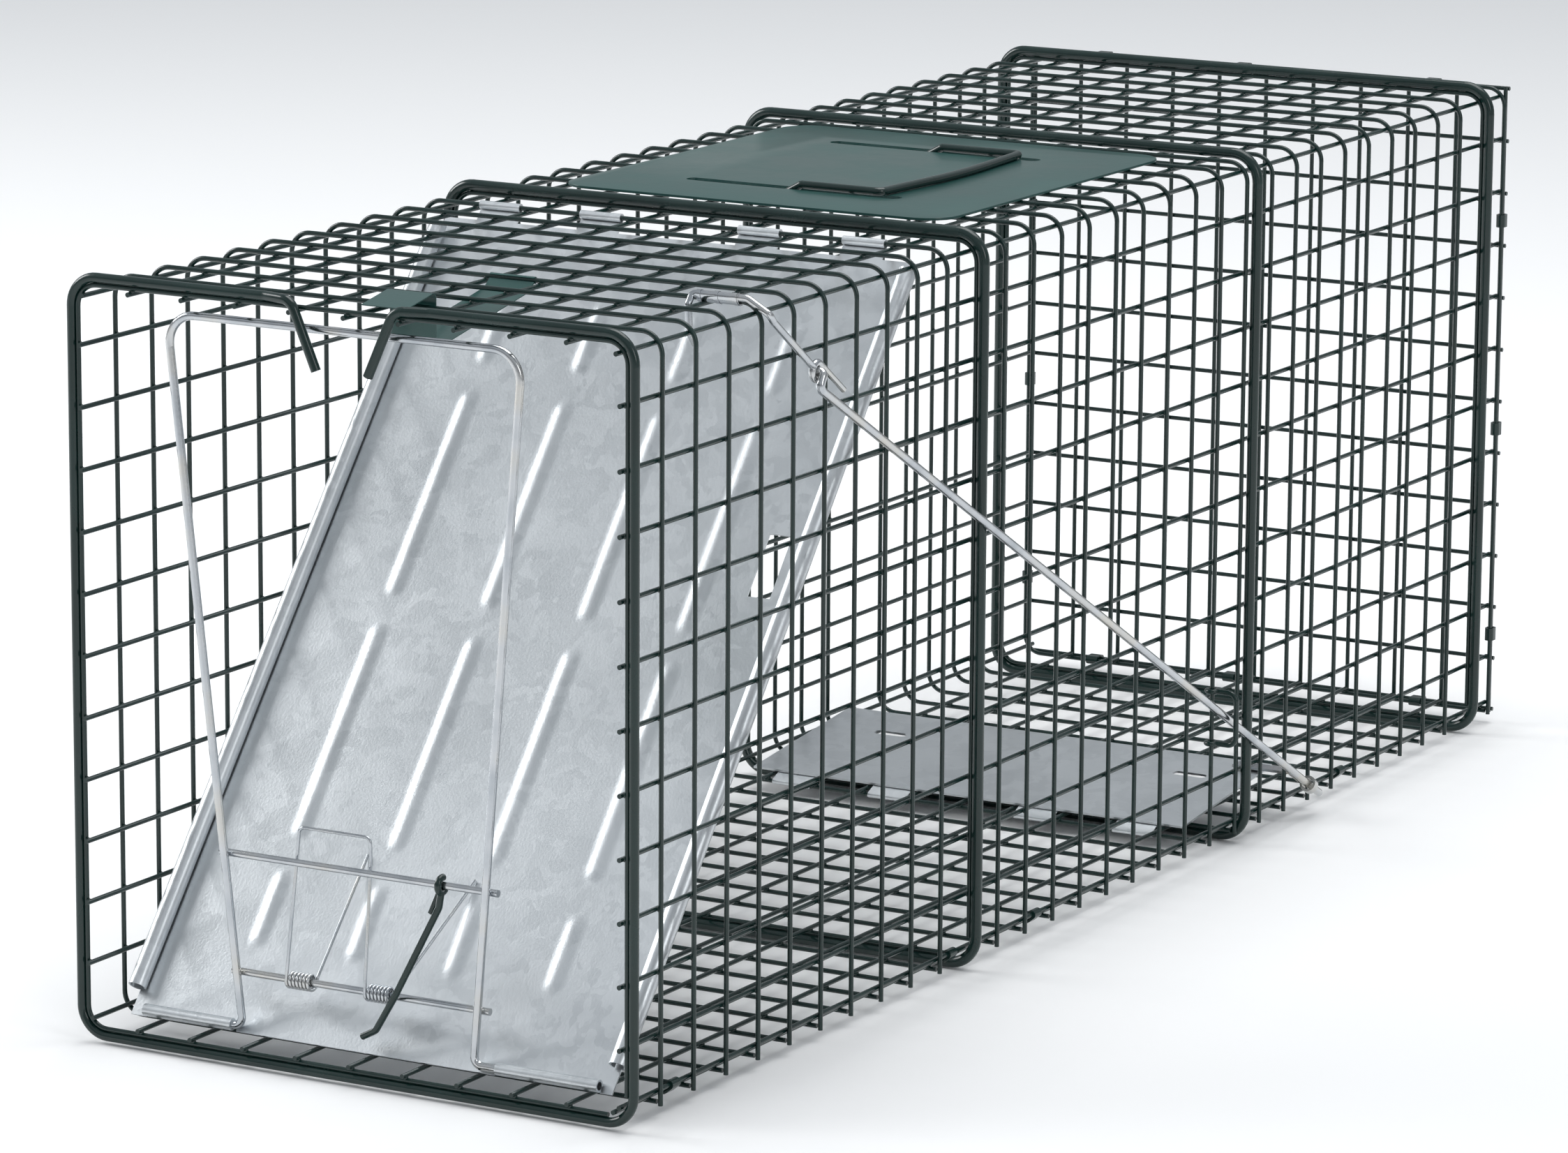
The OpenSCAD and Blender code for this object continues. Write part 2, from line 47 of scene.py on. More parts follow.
# camera first, at the viewing angle
cameraValues = {"place": (1.4679, -2.6326, 0.7748), "lens": 159.7, "sensor": 36.0}
right = Vector((0.86766, 0.49712, 0.00606))
down = Vector((0.10876, -0.17791, -0.97802))
ahead = Vector((-0.48512, 0.84925, -0.20843))
camData = bpy.data.cameras.new("viewCamera")
camData.lens, camData.sensor_width = cameraValues["lens"], cameraValues["sensor"]
camData.clip_start, camData.clip_end = 0.1, 60
viewCamera = bpy.data.objects.new("viewCamera", camData)
cameraTurn = Matrix((right, -down, -ahead)).transposed().to_4x4()
viewCamera.matrix_world = Matrix.Translation(cameraValues["place"]) @ cameraTurn
bpy.context.scene.collection.objects.link(viewCamera)
bpy.context.scene.camera = viewCamera


# materials

def newMaterial(name, **sockets):
    mat = bpy.data.materials.new(name)
    mat.use_nodes = True
    shader = mat.node_tree.nodes["Principled BSDF"]
    for key, value in sockets.items():
        shader.inputs[key.replace("_", " ")].default_value = value
    return mat, mat.node_tree, shader


def addNode(tree, kind, **values):
    node = tree.nodes.new(kind)
    for key, value in values.items():
        if key in node.inputs:
            node.inputs[key].default_value = value
        else:
            setattr(node, key, value)
    return node


def ramp(tree, source, stops):
    node = tree.nodes.new("ShaderNodeValToRGB")
    while len(node.color_ramp.elements) < len(stops):
        node.color_ramp.elements.new(0.5)
    for element, (place, colour) in zip(node.color_ramp.elements, stops):
        element.position, element.color = place, (*colour, 1) if len(colour) == 3 else colour
    tree.links.new(source, node.inputs["Fac"])
    return node.outputs["Color"]


def grey(v):
    return (v, v, v)


def bumpFrom(tree, shader, source, strength, distance):
    bump = addNode(tree, "ShaderNodeBump", Strength=strength, Distance=distance)
    tree.links.new(source, bump.inputs["Height"])
    tree.links.new(bump.outputs["Normal"], shader.inputs["Normal"])


# dipped gloss paint: near-black teal green with slow tone drift and orange peel
def dippedPaint(name, dark, light, roughLow, roughHigh, coat):
    mat, tree, shader = newMaterial(name, Metallic=0.0, Specular_IOR_Level=0.45,
                                    Coat_Weight=coat, Coat_Roughness=0.1)
    coords = addNode(tree, "ShaderNodeTexCoord").outputs["Object"]
    drift = addNode(tree, "ShaderNodeTexNoise", Scale=28.0, Detail=4.0)
    peel = addNode(tree, "ShaderNodeTexNoise", Scale=420.0, Detail=2.0)
    for tex in (drift, peel):
        tree.links.new(coords, tex.inputs["Vector"])
    tones = ramp(tree, drift.outputs["Fac"], [(0.3, dark), (0.75, light)])
    tree.links.new(tones, shader.inputs["Base Color"])
    roughness = ramp(tree, drift.outputs["Fac"], [(0.35, grey(roughLow)), (0.7, grey(roughHigh))])
    tree.links.new(roughness, shader.inputs["Roughness"])
    bumpFrom(tree, shader, peel.outputs["Fac"], 0.12, 0.0003)
    return mat


# galvanized sheet: faint crystals, clouds, slow waviness and fine grain
def galvanizedSheet():
    mat, tree, shader = newMaterial("galvanizedSheet", Metallic=1.0)
    coords = addNode(tree, "ShaderNodeTexCoord").outputs["Object"]
    crystal = addNode(tree, "ShaderNodeTexVoronoi", Scale=95.0)
    warp = addNode(tree, "ShaderNodeTexNoise", Scale=60.0, Detail=3.0)
    cloud = addNode(tree, "ShaderNodeTexNoise", Scale=9.0, Detail=5.0)
    grain = addNode(tree, "ShaderNodeTexNoise", Scale=900.0, Detail=2.0)
    mix = addNode(tree, "ShaderNodeMix", data_type="VECTOR", Factor=0.06)
    tree.links.new(coords, mix.inputs[4])
    tree.links.new(warp.outputs["Color"], mix.inputs[5])
    tree.links.new(mix.outputs[1], crystal.inputs["Vector"])
    for tex in (warp, cloud, grain):
        tree.links.new(coords, tex.inputs["Vector"])
    spangle = addNode(tree, "ShaderNodeSeparateColor")
    tree.links.new(crystal.outputs["Color"], spangle.inputs[0])
    tone = addNode(tree, "ShaderNodeMath", operation="MULTIPLY_ADD")
    tone.inputs[1].default_value = 0.35
    tree.links.new(spangle.outputs[0], tone.inputs[0])
    tree.links.new(cloud.outputs["Fac"], tone.inputs[2])
    tones = ramp(tree, tone.outputs[0], [(0.35, (0.61, 0.64, 0.66)), (0.95, (0.71, 0.74, 0.76))])
    tree.links.new(tones, shader.inputs["Base Color"])
    roughness = ramp(tree, tone.outputs[0], [(0.3, grey(0.33)), (1.0, grey(0.39))])
    tree.links.new(roughness, shader.inputs["Roughness"])
    dents = addNode(tree, "ShaderNodeTexNoise", Scale=11.0, Detail=1.0)
    tree.links.new(coords, dents.inputs["Vector"])
    height = addNode(tree, "ShaderNodeMath", operation="MULTIPLY_ADD")  # waviness of thin sheet plus grain
    height.inputs[1].default_value = 16.0
    tree.links.new(dents.outputs["Fac"], height.inputs[0])
    tree.links.new(grain.outputs["Fac"], height.inputs[2])
    bumpFrom(tree, shader, height.outputs[0], 0.5, 0.0001)
    return mat


# bright zinc plated wire: faint straw and blue patches, fine grain
def zincWire():
    mat, tree, shader = newMaterial("zincWire", Metallic=1.0)
    coords = addNode(tree, "ShaderNodeTexCoord").outputs["Object"]
    patch = addNode(tree, "ShaderNodeTexNoise", Scale=40.0, Detail=4.0)
    grain = addNode(tree, "ShaderNodeTexNoise", Scale=700.0, Detail=2.0)
    for tex in (patch, grain):
        tree.links.new(coords, tex.inputs["Vector"])
    tones = ramp(tree, patch.outputs["Fac"],
                 [(0.3, (0.40, 0.43, 0.46)), (0.5, (0.55, 0.57, 0.59)), (0.75, (0.60, 0.58, 0.53))])
    tree.links.new(tones, shader.inputs["Base Color"])
    roughness = ramp(tree, patch.outputs["Fac"], [(0.3, grey(0.13)), (0.75, grey(0.24))])
    tree.links.new(roughness, shader.inputs["Roughness"])
    bumpFrom(tree, shader, grain.outputs["Fac"], 0.15, 0.0002)
    return mat


wirePaint = dippedPaint("wirePaint", (0.003, 0.016, 0.014), (0.006, 0.026, 0.023), 0.18, 0.30, 0.15)
platePaint = dippedPaint("platePaint", (0.012, 0.058, 0.052), (0.018, 0.075, 0.068), 0.28, 0.40, 0.15)
sheetMetal = galvanizedSheet()
brightZinc = zincWire()
print("materials made")


# helpers for new pieces

def finishPiece(bm, name, body, mat, smoothAngle=35, replaced=()):
    bmesh.ops.remove_doubles(bm, verts=bm.verts, dist=1e-6)
    bmesh.ops.recalc_face_normals(bm, faces=bm.faces)
    mesh = bpy.data.meshes.new(name)
    bm.to_mesh(mesh)
    bm.free()
    for poly in mesh.polygons:
        poly.use_smooth = True
    mesh.set_sharp_from_angle(angle=radians(smoothAngle))
    mesh.materials.append(mat)
    piece = bpy.data.objects.new(name, mesh)
    bpy.context.scene.collection.objects.link(piece)
    if body:  # a piece given no body is left unattached
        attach(piece, body)
    if replaced:
        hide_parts(*replaced)
    print("made", name, len(mesh.polygons), "faces")
    return piece


def vertsOf(geom):
    return [g for g in geom if isinstance(g, bmesh.types.BMVert)]


def edgesOf(geom):
    return [g for g in geom if isinstance(g, bmesh.types.BMEdge)]


# moves by millimetres, as every place below is given
def shift(x, y, z):
    return Matrix.Translation(Vector((x * mm, y * mm, z * mm)))


def stretch(x, y, z=1):
    return Matrix.Diagonal((x, y, z, 1))


def ringEdges(verts):
    verts = set(verts)
    near = {e for v in verts for e in v.link_edges}
    return [e for e in near if e.verts[0] in verts and e.verts[1] in verts]


def startRing(bm, place, direction, radius, sides):
    turn = Vector((0, 0, 1)).rotation_difference(direction).to_matrix().to_4x4()
    made = bmesh.ops.create_circle(bm, cap_ends=True, radius=radius, segments=sides,
                                   matrix=Matrix.Translation(place) @ turn)
    return ringEdges(made["verts"])


def pushRing(bm, edges, move):
    made = bmesh.ops.extrude_edge_only(bm, edges=edges)["geom"]
    bmesh.ops.translate(bm, verts=vertsOf(made), vec=move)
    return edgesOf(made)


def turnRing(bm, edges, centre, axis, angle, steps, rise=(0, 0, 0)):
    made = bmesh.ops.spin(bm, geom=edges, cent=centre, axis=axis, dvec=rise, angle=angle, steps=steps,
                          use_duplicate=False)
    return edgesOf(made["geom_last"])


# wire bent through points (mm), one bend radius or a list of them
def bendWire(bm, points, bend, radius, sides=14, closeEnd=True):
    pts = [Vector(p) * mm for p in points]
    bends = bend if isinstance(bend, (list, tuple)) else [bend] * len(pts)
    way = (pts[1] - pts[0]).normalized()
    edges = startRing(bm, pts[0], way, radius * mm, sides)
    used = 0.0
    for i in range(1, len(pts)):
        length = (pts[i] - pts[i - 1]).length - used
        if i == len(pts) - 1:
            edges = pushRing(bm, edges, way * length)
            break
        nextWay = (pts[i + 1] - pts[i]).normalized()
        angle = way.angle(nextWay)
        r = bends[i - 1] * mm
        cut = r * tan(angle / 2)
        edges = pushRing(bm, edges, way * (length - cut))
        axis = way.cross(nextWay).normalized()
        centre = pts[i] - way * cut + axis.cross(way) * r
        edges = turnRing(bm, edges, centre, axis, angle, max(3, int(angle / radians(12))))
        way, used = nextWay, cut
    if closeEnd:
        bmesh.ops.holes_fill(bm, edges=edges, sides=0)
    return edges


def bakeModifiers(piece):
    graph = bpy.context.evaluated_depsgraph_get()
    mesh = bpy.data.meshes.new_from_object(piece.evaluated_get(graph))
    old = piece.data
    piece.modifiers.clear()
    piece.data = mesh
    bpy.data.meshes.remove(old)
    return piece


# cuts a straight-sided slot with round ends through a piece; matrix places it
def cutSlots(piece, slots, matrix, depth=0.03):
    bm = bmesh.new()
    for x, y, length, width, turn in slots:
        place = matrix @ Matrix.Translation((x * mm, y * mm, 0)) @ Matrix.Rotation(radians(turn), 4, "Z")
        made = bmesh.ops.create_cube(bm, size=1.0,
                                     matrix=place @ Matrix.Diagonal((length * mm, width * mm, depth, 1)))
        upright = [e for e in ringEdges(made["verts"]) if abs(e.calc_length() - depth) < 1e-5]
        bmesh.ops.bevel(bm, geom=upright, offset=min(length, width) * 0.49 * mm, affect="EDGES",
                        segments=8, profile=0.5, material=-1)
    mesh = bpy.data.meshes.new("slotCutter")
    bm.to_mesh(mesh)
    bm.free()
    cutter = bpy.data.objects.new("slotCutter", mesh)
    bpy.context.scene.collection.objects.link(cutter)
    cut = piece.modifiers.new("slots", "BOOLEAN")
    cut.operation, cut.object, cut.solver = "DIFFERENCE", cutter, "EXACT"
    bpy.context.view_layer.update()
    bakeModifiers(piece)
    bpy.data.objects.remove(cutter)
    piece.data.set_sharp_from_angle(angle=radians(35))


# cage

cage = {"pitch": 25.4, "wide": 10, "tall": 12, "long": 32, "floor": 5.85, "apart": 2.04, "weld": 1.3}
halfX, halfY = cage["wide"] * cage["pitch"] / 2 + 0.5, cage["long"] * cage["pitch"] / 2
topZ = cage["floor"] + cage["tall"] * cage["pitch"] + 0.8
painted = ("floor_mesh", "left_mesh", "top_mesh", "right_mesh", "rear_panel", "front_frame", "front_rib",
           "middle_rib", "rear_rib", "rod_guide", "seam_clips", "rear_clips", "carry_handle")
plated = ("crank_sleeve", "latch_crank", "trigger_rod", "pan_arm", "lock_bar", "upper_cross_rod",
          "lower_cross_rod")
for names, mat in ((painted, wirePaint), (plated, brightZinc)):
    for nodeName in names:
        nodes[nodeName].data.materials.clear()
        nodes[nodeName].data.materials.append(mat)


# paint-filled weld spot at each wire crossing of a wall
def weldSpots(name, places):
    bm = bmesh.new()
    for place in places:
        bmesh.ops.create_icosphere(bm, subdivisions=1, radius=cage["weld"] * mm,
                                   matrix=Matrix.Translation(Vector(place) * mm))
    return finishPiece(bm, name, "cage", wirePaint, 80)


hoops = [-halfY + j * cage["pitch"] for j in range(cage["long"] + 1)]
rows = [cage["floor"] + 1.75 + k * cage["pitch"] for k in range(1, cage["tall"])]
across = [i * cage["pitch"] for i in range(-4, 5)]
gapMid = cage["apart"] / 2
weldSpots("floorWelds", [(x, y, cage["floor"] + gapMid) for x in across for y in hoops])
weldSpots("topWelds", [(x, y, topZ - gapMid) for x in across for y in hoops])
weldSpots("leftWelds", [(-halfX + gapMid, y, z) for z in rows for y in hoops])
weldSpots("rightWelds", [(halfX - gapMid, y, z) for z in rows for y in hoops])
print("cage done")


# sloping door

door = {"angle": 50.9, "hingeY": -152.4, "start": 7.0, "tube": 385.0, "end": 387.0, "thick": 0.8,
        "curl": 3.8, "half": 118.0, "face": -1.85, "tubeRadius": 2.55,
        "ribs": (-69, -22.3, 24.3, 71), "ribRows": ((40, 75), (88, 187), (200, 300), (315, 350)),
        "pillHeight": 0.6, "pillHalf": 4.6, "pillFade": 4.2,
        "slot": (93.5, 104.0, 137.5, 166.5), "tubeSpans": ((-107, -64), (61, 108)),
        "loops": (-88.9, -38.1, 38.1, 88.9)}
doorPlace = shift(0, door["hingeY"], topZ) @ Matrix.Rotation(radians(door["angle"]), 4, "X")


def ovalDistance(x, s, cx, s0, s1, half):
    nearest = min(max(s, s0 + half), s1 - half)
    return sqrt((x - cx) ** 2 + (s - nearest) ** 2) - half


def pressedRibs(x, s):
    best = min(ovalDistance(x, s, cx, s0, s1, door["pillHalf"]) for cx in door["ribs"]
               for s0, s1 in door["ribRows"])
    t = min(1.0, max(0.0, -best / door["pillFade"]))
    return t * t * (3 - 2 * t)


def makeDoor():
    bm = bmesh.new()
    curlX = door["half"] - door["curl"]
    length = door["tube"] - door["start"]
    columns, lines = 160, 210
    middle = -(door["start"] + length / 2)
    bmesh.ops.create_grid(bm, x_segments=columns, y_segments=lines, size=0.5,
                          matrix=shift(0, middle, door["face"]) @ stretch(2 * curlX * mm, length * mm))
    for v in bm.verts:
        v.co.z += door["pillHeight"] * mm * pressedRibs(v.co.x / mm, -v.co.y / mm)
    x0, x1, s0, s1 = (value * mm for value in door["slot"])
    for place, direction in (((x0, 0, 0), (1, 0, 0)), ((x1, 0, 0), (1, 0, 0)),
                             ((0, -s0, 0), (0, 1, 0)), ((0, -s1, 0), (0, 1, 0))):
        bmesh.ops.bisect_plane(bm, geom=bm.verts[:] + bm.edges[:] + bm.faces[:], dist=1e-7,
                               plane_co=place, plane_no=direction)
    middles = [(f, f.calc_center_median()) for f in bm.faces]
    inSlot = [f for f, c in middles if x0 < c.x < x1 and s0 < -c.y < s1]
    bmesh.ops.delete(bm, geom=inSlot, context="FACES")

    def edgeAt(test):
        rims = [e for e in bm.edges if e.is_boundary]
        return [e for e in rims if all(test(v.co.x / mm, -v.co.y / mm) for v in e.verts)]

    for side in (-1, 1):
        rim = edgeAt(lambda x, s: abs(x - side * curlX) < 0.1 and 12 < s < 377)
        centre = Vector((side * curlX * mm, 0, (door["face"] + door["curl"]) * mm))
        turnRing(bm, rim, centre, (0, 1, 0), -side * radians(305), 22)
    for low, high in door["tubeSpans"]:
        rim = edgeAt(lambda x, s: abs(s - door["tube"]) < 0.1 and low - 0.8 < x < high + 0.8)
        centre = Vector((0, -door["tube"] * mm, (door["face"] + door["tubeRadius"]) * mm))
        turnRing(bm, rim, centre, (1, 0, 0), -radians(345), 24)
    flat = edgeAt(lambda x, s: abs(s - door["tube"]) < 0.1 and (-64 < x < 61 or x < -107 or x > 108))
    pushRing(bm, flat, Vector((0, (door["tube"] - door["end"]) * mm, 0)))
    for cx in door["loops"]:
        rim = edgeAt(lambda x, s: abs(s - door["start"]) < 0.1 and abs(x - cx) < 10.6)
        rim = pushRing(bm, rim, Vector((0, door["start"] * mm, 0)))
        turnRing(bm, rim, Vector((0, 0, 0)), (1, 0, 0), radians(280), 18)
    bmesh.ops.remove_doubles(bm, verts=bm.verts, dist=1e-6)
    bmesh.ops.recalc_face_normals(bm, faces=bm.faces)
    midSheet = Vector((0, -0.2, door["face"] * mm))
    flatFace = min(bm.faces, key=lambda f: (f.calc_center_median() - midSheet).length)
    if flatFace.normal.z > 0:
        bmesh.ops.reverse_faces(bm, faces=bm.faces)
    bmesh.ops.solidify(bm, geom=bm.faces[:], thickness=door["thick"] * mm)
    bmesh.ops.transform(bm, matrix=doorPlace, verts=bm.verts)
    finishPiece(bm, "doorSheet", "door", sheetMetal, 40, ("door_panel",))


makeDoor()
print("door done")


# lock bar spring and hook

lock = {"y": -395.753, "z": 13.114, "crossY": -403.0, "crossZ": 302.7}
springValues = {"radius": 3.05, "wire": 0.7, "turns": 6.5, "left": (-27, -38), "right": (10.5, -0.5),
                "leftFoot": (-33, 303), "rightFoot": (20, 307), "sink": -0.2}


def legY(z):
    return lock["y"] + (lock["crossY"] - lock["y"]) * (z - lock["z"]) / (lock["crossZ"] - lock["z"])


coilY, coilZ = legY(35) + 3.22, 35.0


def onDoor(x, s, n):
    p = doorPlace @ Vector((x * mm, -s * mm, n * mm))
    return p / mm


# the outer legs are bent wires from the coils to their feet on the door
def makeSpring():
    bm, legs = bmesh.new(), bmesh.new()
    r, w, turns = springValues["radius"], springValues["wire"], springValues["turns"]
    for side in ("left", "right"):
        x0, x1 = springValues[side]
        foot = onDoor(*springValues[side + "Foot"], springValues["sink"])
        start = Vector((x0, coilY + r, coilZ))
        bendWire(legs, [foot, (x0, coilY + r, coilZ + 1.5), start], 1.2, w, 8)
        edges = startRing(bm, start * mm, Vector((0, 0, -1)), w * mm, 8)
        steps = int(turns * 20)
        edges = turnRing(bm, edges, Vector((x0, coilY, coilZ)) * mm, (1, 0, 0), -radians(360 * turns), steps,
                         Vector(((x1 - x0) / (turns * 20) * mm, 0, 0)))
        bmesh.ops.holes_fill(bm, edges=edges, sides=0)
    bendWire(bm, [(-38, coilY - r, coilZ - 0.5), (-36, coilY + 3.2, 88), (-35.3, coilY + 3.6, 97.4),
                  (-1.6, coilY + 3.6, 97.4), (-1.4, coilY + 3.4, 88), (-0.5, coilY - r, coilZ - 0.5)],
             [4, 2.5, 2.5, 4], w, 8)
    finishPiece(bm, "torsionSpringWire", "lock", brightZinc, 60, ("torsion_spring",))
    longEdges = [e for e in legs.edges if e.calc_length() > 10 * mm]
    bmesh.ops.subdivide_edges(legs, edges=longEdges, cuts=14, use_grid_fill=True)
    springLegs = finishPiece(legs, "torsionSpringLegs", None, brightZinc, 60)
    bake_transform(springLegs)


hook = {"x": 35.0, "z": 84.0, "eye": 3.05, "wire": 1.45}


def makeHook():
    bm = bmesh.new()
    x, z, eye, w = hook["x"], hook["z"], hook["eye"], hook["wire"]
    y0 = legY(z) + 3.22
    edges = bendWire(bm, [(x, y0 + 1.0, z + eye), (x, y0, z + eye)], 1, w, 14, False)
    edges = turnRing(bm, edges, Vector((x, y0, z)) * mm, (1, 0, 0), radians(262), 22)
    bmesh.ops.holes_fill(bm, edges=edges, sides=0)
    bendWire(bm, [(x, y0 - 0.6, z - eye), (34.2, y0 - 1, z - eye - 6), (15.6, y0 - eye - 1.4, 37),
                  (6.4, y0 - eye - 1.4, 21.6), (-0.3, y0 - eye - 0.8, 18)], [3, 25, 3], w)
    bendWire(bm, [(35.2, y0 + 2.9, 83.5), (32.4, y0 + 2.4, 80), (28.8, y0 + 1.8, 71.3)], 3, w)
    finishPiece(bm, "holdOpenHookWire", "hook", wirePaint, 60, ("hold_open_hook",))


makeSpring()
makeHook()
print("lock bar parts done")


# crimped sleeve on the crank

sleeve = {"from": 99.5, "to": 118.2, "across": 6.0, "deep": 3.9, "collars": (99.5, 107.5, 116.0)}
crankHoopY = -304.8
sleeveReach = 2.62 / sqrt(2)


def makeSleeve():
    bm = bmesh.new()
    middle = Vector((0, crankHoopY - sleeveReach / 2, topZ + sleeveReach / 2))
    turn = Matrix.Rotation(radians(135), 4, "X") @ stretch(1, sleeve["across"] / 2, sleeve["deep"] / 2)
    upright = Matrix.Rotation(radians(90), 4, "Y")
    parts = [(sleeve["from"], sleeve["to"], 1.0)] + [(x, x + 1.6, 1.09) for x in sleeve["collars"]]
    for x0, x1, swell in parts:
        place = Matrix.Translation((middle + Vector(((x0 + x1) / 2, 0, 0))) * mm)
        made = bmesh.ops.create_cone(bm, cap_ends=True, cap_tris=False, segments=28, radius1=swell,
                                     radius2=swell, depth=(x1 - x0) * mm, matrix=upright)
        for v in made["verts"]:
            v.co = place @ (stretch(1, mm, mm) @ turn) @ v.co
        rims = [e for e in ringEdges(made["verts"]) if abs(e.verts[0].co.x - e.verts[1].co.x) < 1e-6]
        bmesh.ops.bevel(bm, geom=rims, offset=0.2 * mm, affect="EDGES", segments=2, profile=0.5,
                        material=-1)
    finishPiece(bm, "crimpedSleeve", "cage", brightZinc, 40, ("crank_sleeve",))


makeSleeve()
print("crank sleeve done")


# guard plate

plate = {"half": 95.0, "front": -98.0, "rear": 113.0, "thick": 1.2, "corner": 15.0, "z": topZ + 1.05,
         "slots": (-55.0, 72.0), "slotLength": 106, "slotWidth": 7, "pinX": -6, "pinDrop": 1.9, "ear": 2.3}


def makePlate():
    bm = bmesh.new()
    middle, length = (plate["front"] + plate["rear"]) / 2, plate["rear"] - plate["front"]
    bmesh.ops.create_grid(bm, x_segments=1, y_segments=1, size=0.5,
                          matrix=shift(0, middle, plate["z"]) @ stretch(2 * plate["half"] * mm, length * mm))
    bmesh.ops.bevel(bm, geom=bm.verts[:], offset=plate["corner"] * mm, affect="VERTICES", segments=10,
                    profile=0.5, material=-1)
    lifted = bmesh.ops.extrude_face_region(bm, geom=bm.faces[:])["geom"]
    bmesh.ops.translate(bm, verts=vertsOf(lifted), vec=(0, 0, plate["thick"] * mm))
    bmesh.ops.recalc_face_normals(bm, faces=bm.faces)
    rims = [e for e in bm.edges if len(e.link_faces) == 2 and e.calc_face_angle(0) > 1.2]
    bmesh.ops.bevel(bm, geom=rims, offset=0.25 * mm, affect="EDGES", segments=2, profile=0.5, material=-1)
    guard = finishPiece(bm, "guardPlate", "cage", platePaint, 35, ("handle_plate",))
    slots = [(-1, y, plate["slotLength"], plate["slotWidth"], 0) for y in plate["slots"]]
    cutSlots(guard, slots, shift(0, 0, plate["z"]))


makePlate()


# curled ears under the plate that carry the handle's ends
def makeEars():
    bm = bmesh.new()
    for y in plate["slots"]:
        pinZ = plate["z"] - plate["pinDrop"]
        ends = [Vector((plate["pinX"] - plate["ear"], y - 14 + d, plate["z"] - 0.02)) * mm for d in (0, 9)]
        rim = [bmesh.ops.create_vert(bm, co=end)["vert"][0] for end in ends]
        edges = [bm.edges.new(rim)]
        edges = pushRing(bm, edges, Vector((0, 0, pinZ - plate["z"])) * mm)
        edges = turnRing(bm, edges, Vector((plate["pinX"], y, pinZ)) * mm, (0, 1, 0), -pi, 16)
        pushRing(bm, edges, Vector((0, 0, plate["z"] - pinZ - 0.02)) * mm)
    bmesh.ops.solidify(bm, geom=bm.faces[:], thickness=0.45 * mm)
    finishPiece(bm, "plateEars", "cage", platePaint, 40)


makeEars()
print("handle done")


# trip pan

pan = {"y": 101.6, "tilt": 6.3, "half": 112.0, "length": 92.0, "thick": 1.0, "slots": (-74.6, 83)}
panPlace = shift(0, pan["y"] + 4.2, cage["floor"] + 3.6) @ Matrix.Rotation(radians(pan["tilt"]), 4, "X")


def makePan():
    bm = bmesh.new()
    size = stretch(2 * pan["half"] * mm, pan["length"] * mm)
    bmesh.ops.create_grid(bm, x_segments=112, y_segments=46, size=0.5,
                          matrix=shift(0, pan["length"] / 2, 0) @ size)
    lifted = bmesh.ops.extrude_face_region(bm, geom=bm.faces[:])["geom"]
    bmesh.ops.translate(bm, verts=vertsOf(lifted), vec=(0, 0, pan["thick"] * mm))
    bmesh.ops.transform(bm, matrix=panPlace, verts=bm.verts)
    sheet = finishPiece(bm, "tripPanSheet", "pan", sheetMetal, 35, ("trip_pan",))
    cutSlots(sheet, [(x, pan["length"] - 27, 16.8, 4.8, 0) for x in pan["slots"]], panPlace)
    bm = bmesh.new()
    floorZ = cage["floor"]
    for cx in door["loops"]:
        ends = [Vector((cx + d, pan["y"] + 6.0, floorZ + 4.0)) * mm for d in (-10, 10)]
        edges = [bm.edges.new([bm.verts.new(p) for p in ends])]
        edges = pushRing(bm, edges, Vector((0, -6.95, -2.95)) * mm)
        turnRing(bm, edges, Vector((0, pan["y"], floorZ)) * mm, (1, 0, 0), radians(300), 20)
    bmesh.ops.solidify(bm, geom=bm.faces[:], thickness=0.4 * mm)
    finishPiece(bm, "tripPanHinges", "pan", sheetMetal, 40)


makePan()
print("trip pan done")


# spring strip over the door end

catch = {"x": 12.7, "half": 10.5, "thick": 0.8, "lip": 295.4, "fold": 0.8}


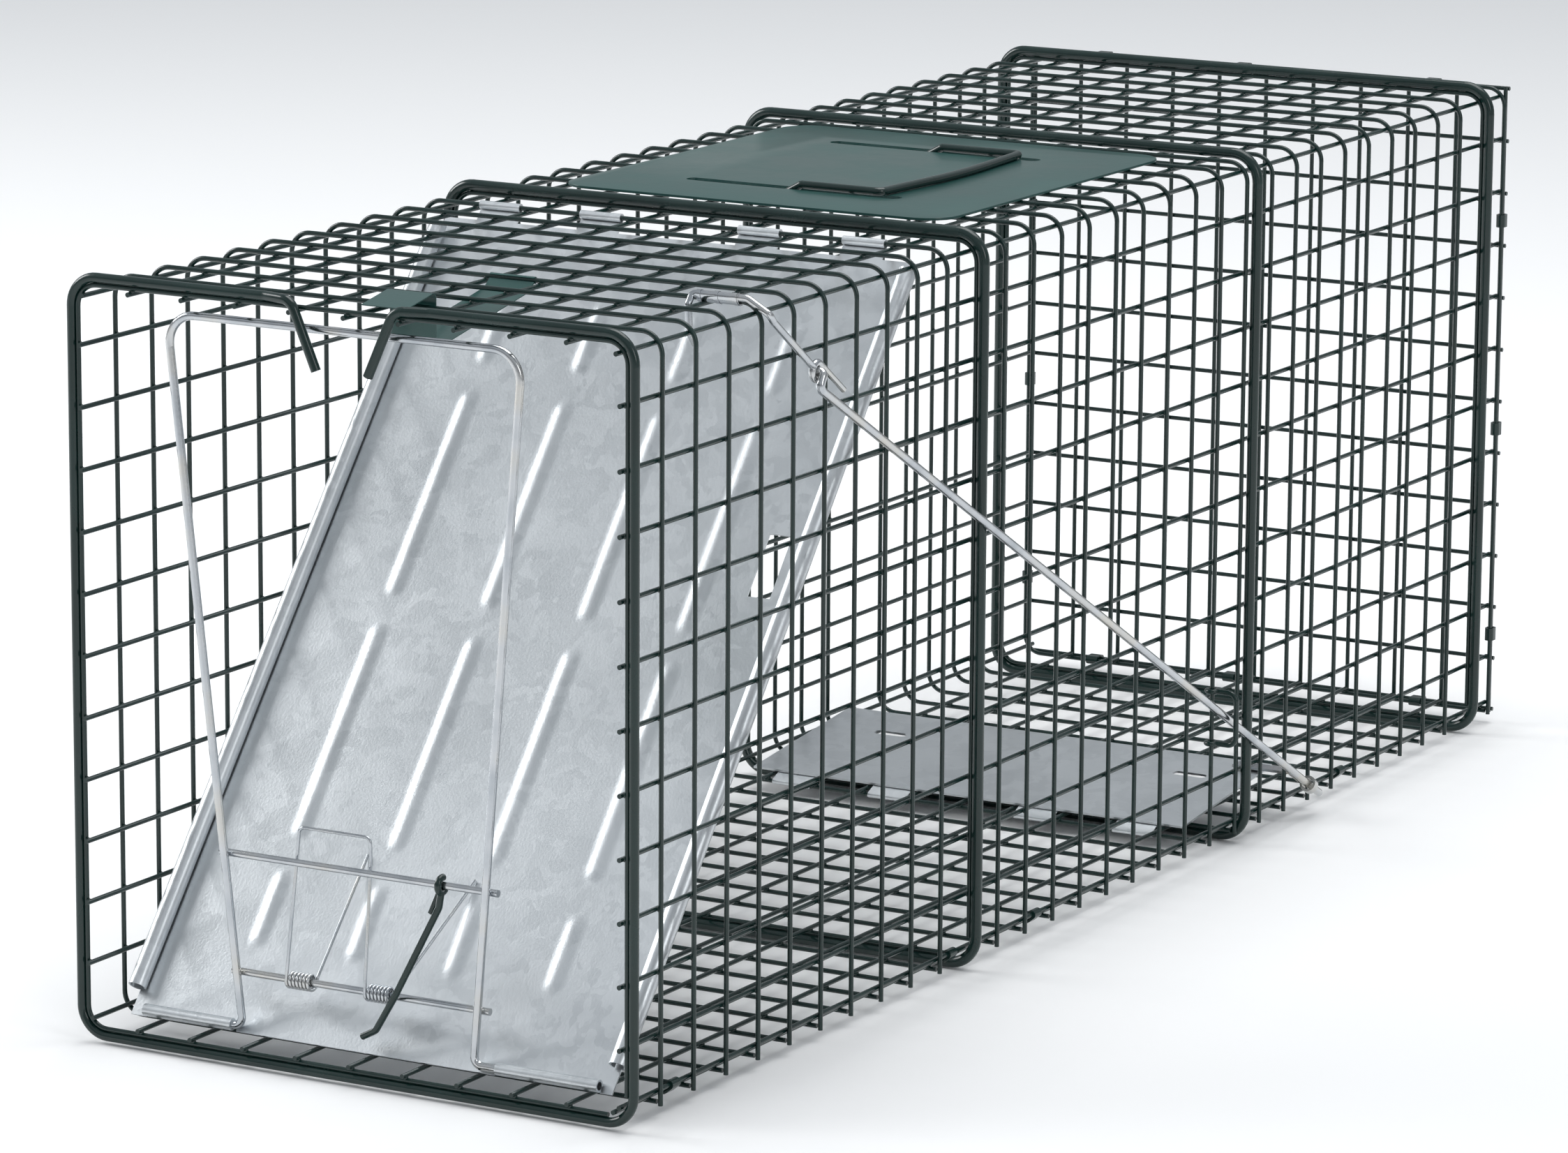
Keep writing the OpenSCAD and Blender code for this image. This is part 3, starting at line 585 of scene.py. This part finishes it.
def makeCatch():
    bm = bmesh.new()
    y1, y4 = -halfY + 25.4, -halfY + 101.6
    faceY = y1 + 2.6
    line = [(-399.4, topZ + 1.9), (faceY - 1.6, topZ + 5.4), (faceY, topZ + 4.2),
            (faceY, catch["lip"] + 1.0), (faceY + 5, catch["lip"]),
            (y4 - 5, topZ - 4.25), (y4 - 1.0, topZ - 1.05)]
    ends = [Vector((catch["x"] + d, line[0][0], line[0][1])) * mm for d in (-catch["half"], catch["half"])]
    edges = [bm.edges.new([bm.verts.new(p) for p in ends])]
    bends = []
    for a, b in zip(line, line[1:]):
        edges = pushRing(bm, edges, Vector((0, b[0] - a[0], b[1] - a[1])) * mm)
        bends += edges
    turnRing(bm, edges, Vector((0, y4, topZ)) * mm, (1, 0, 0), radians(270), 18)
    bmesh.ops.bevel(bm, geom=bends[:-1], offset=catch["fold"] * mm, affect="EDGES", segments=4,
                    profile=0.5, material=-1)
    bmesh.ops.solidify(bm, geom=bm.faces[:], thickness=catch["thick"] / 2 * mm)
    finishPiece(bm, "catchStrip", "cage", platePaint, 40, ("lock_catch",))


makeCatch()
print("catch done")


# floor and studio light

floorMesh = bmesh.new()
bmesh.ops.create_grid(floorMesh, x_segments=1, y_segments=1, size=12, matrix=shift(0, 0, -0.5))
floorData = bpy.data.meshes.new("studioFloor")
floorMesh.to_mesh(floorData)
floorMesh.free()
studioFloor = bpy.data.objects.new("studioFloor", floorData)
bpy.context.scene.collection.objects.link(studioFloor)
paleFloor, _, _ = newMaterial("paleFloor", Base_Color=(0.93, 0.93, 0.93, 1), Roughness=0.9)
floorData.materials.append(paleFloor)


def softBox(name, place, target, size, power):
    data = bpy.data.lights.new(name, "AREA")
    data.shape, data.size, data.size_y, data.energy = "RECTANGLE", size[0], size[1], power
    lamp = bpy.data.objects.new(name, data)
    lamp.location = place
    lamp.rotation_mode = "QUATERNION"
    lamp.rotation_quaternion = (Vector(target) - Vector(place)).to_track_quat("-Z", "Y")
    bpy.context.scene.collection.objects.link(lamp)


softBox("keyLight", (-2.7, -0.7, 1.6), (0, -0.1, 0.1), (1.4, 1.4), 46)
softBox("fillLight", (2.8, -1.2, 1.4), (0, 0, 0.15), (0.8, 1.6), 12)
softBox("topLight", (0.2, 0.6, 3.0), (0, 0, 0.1), (2.4, 2.4), 62)
world = bpy.data.worlds.new("softRoom")
world.use_nodes = True
skyTree = world.node_tree
skyWay = addNode(skyTree, "ShaderNodeSeparateXYZ")
skyTree.links.new(addNode(skyTree, "ShaderNodeTexCoord").outputs["Generated"], skyWay.inputs[0])
skyTone = ramp(skyTree, skyWay.outputs["Z"], [(0.0, (0.62, 0.63, 0.64)), (0.2, (0.30, 0.31, 0.33)),
                                              (0.5, (0.58, 0.61, 0.64)), (0.9, (0.50, 0.53, 0.56))])
skyTree.links.new(skyTone, skyTree.nodes["Background"].inputs[0])
skyTree.nodes["Background"].inputs[1].default_value = 0.9
bpy.context.scene.world = world

bpy.context.scene.view_settings.view_transform = "Standard"  # keeps the paint dark and the floor pale

print("scene ready")
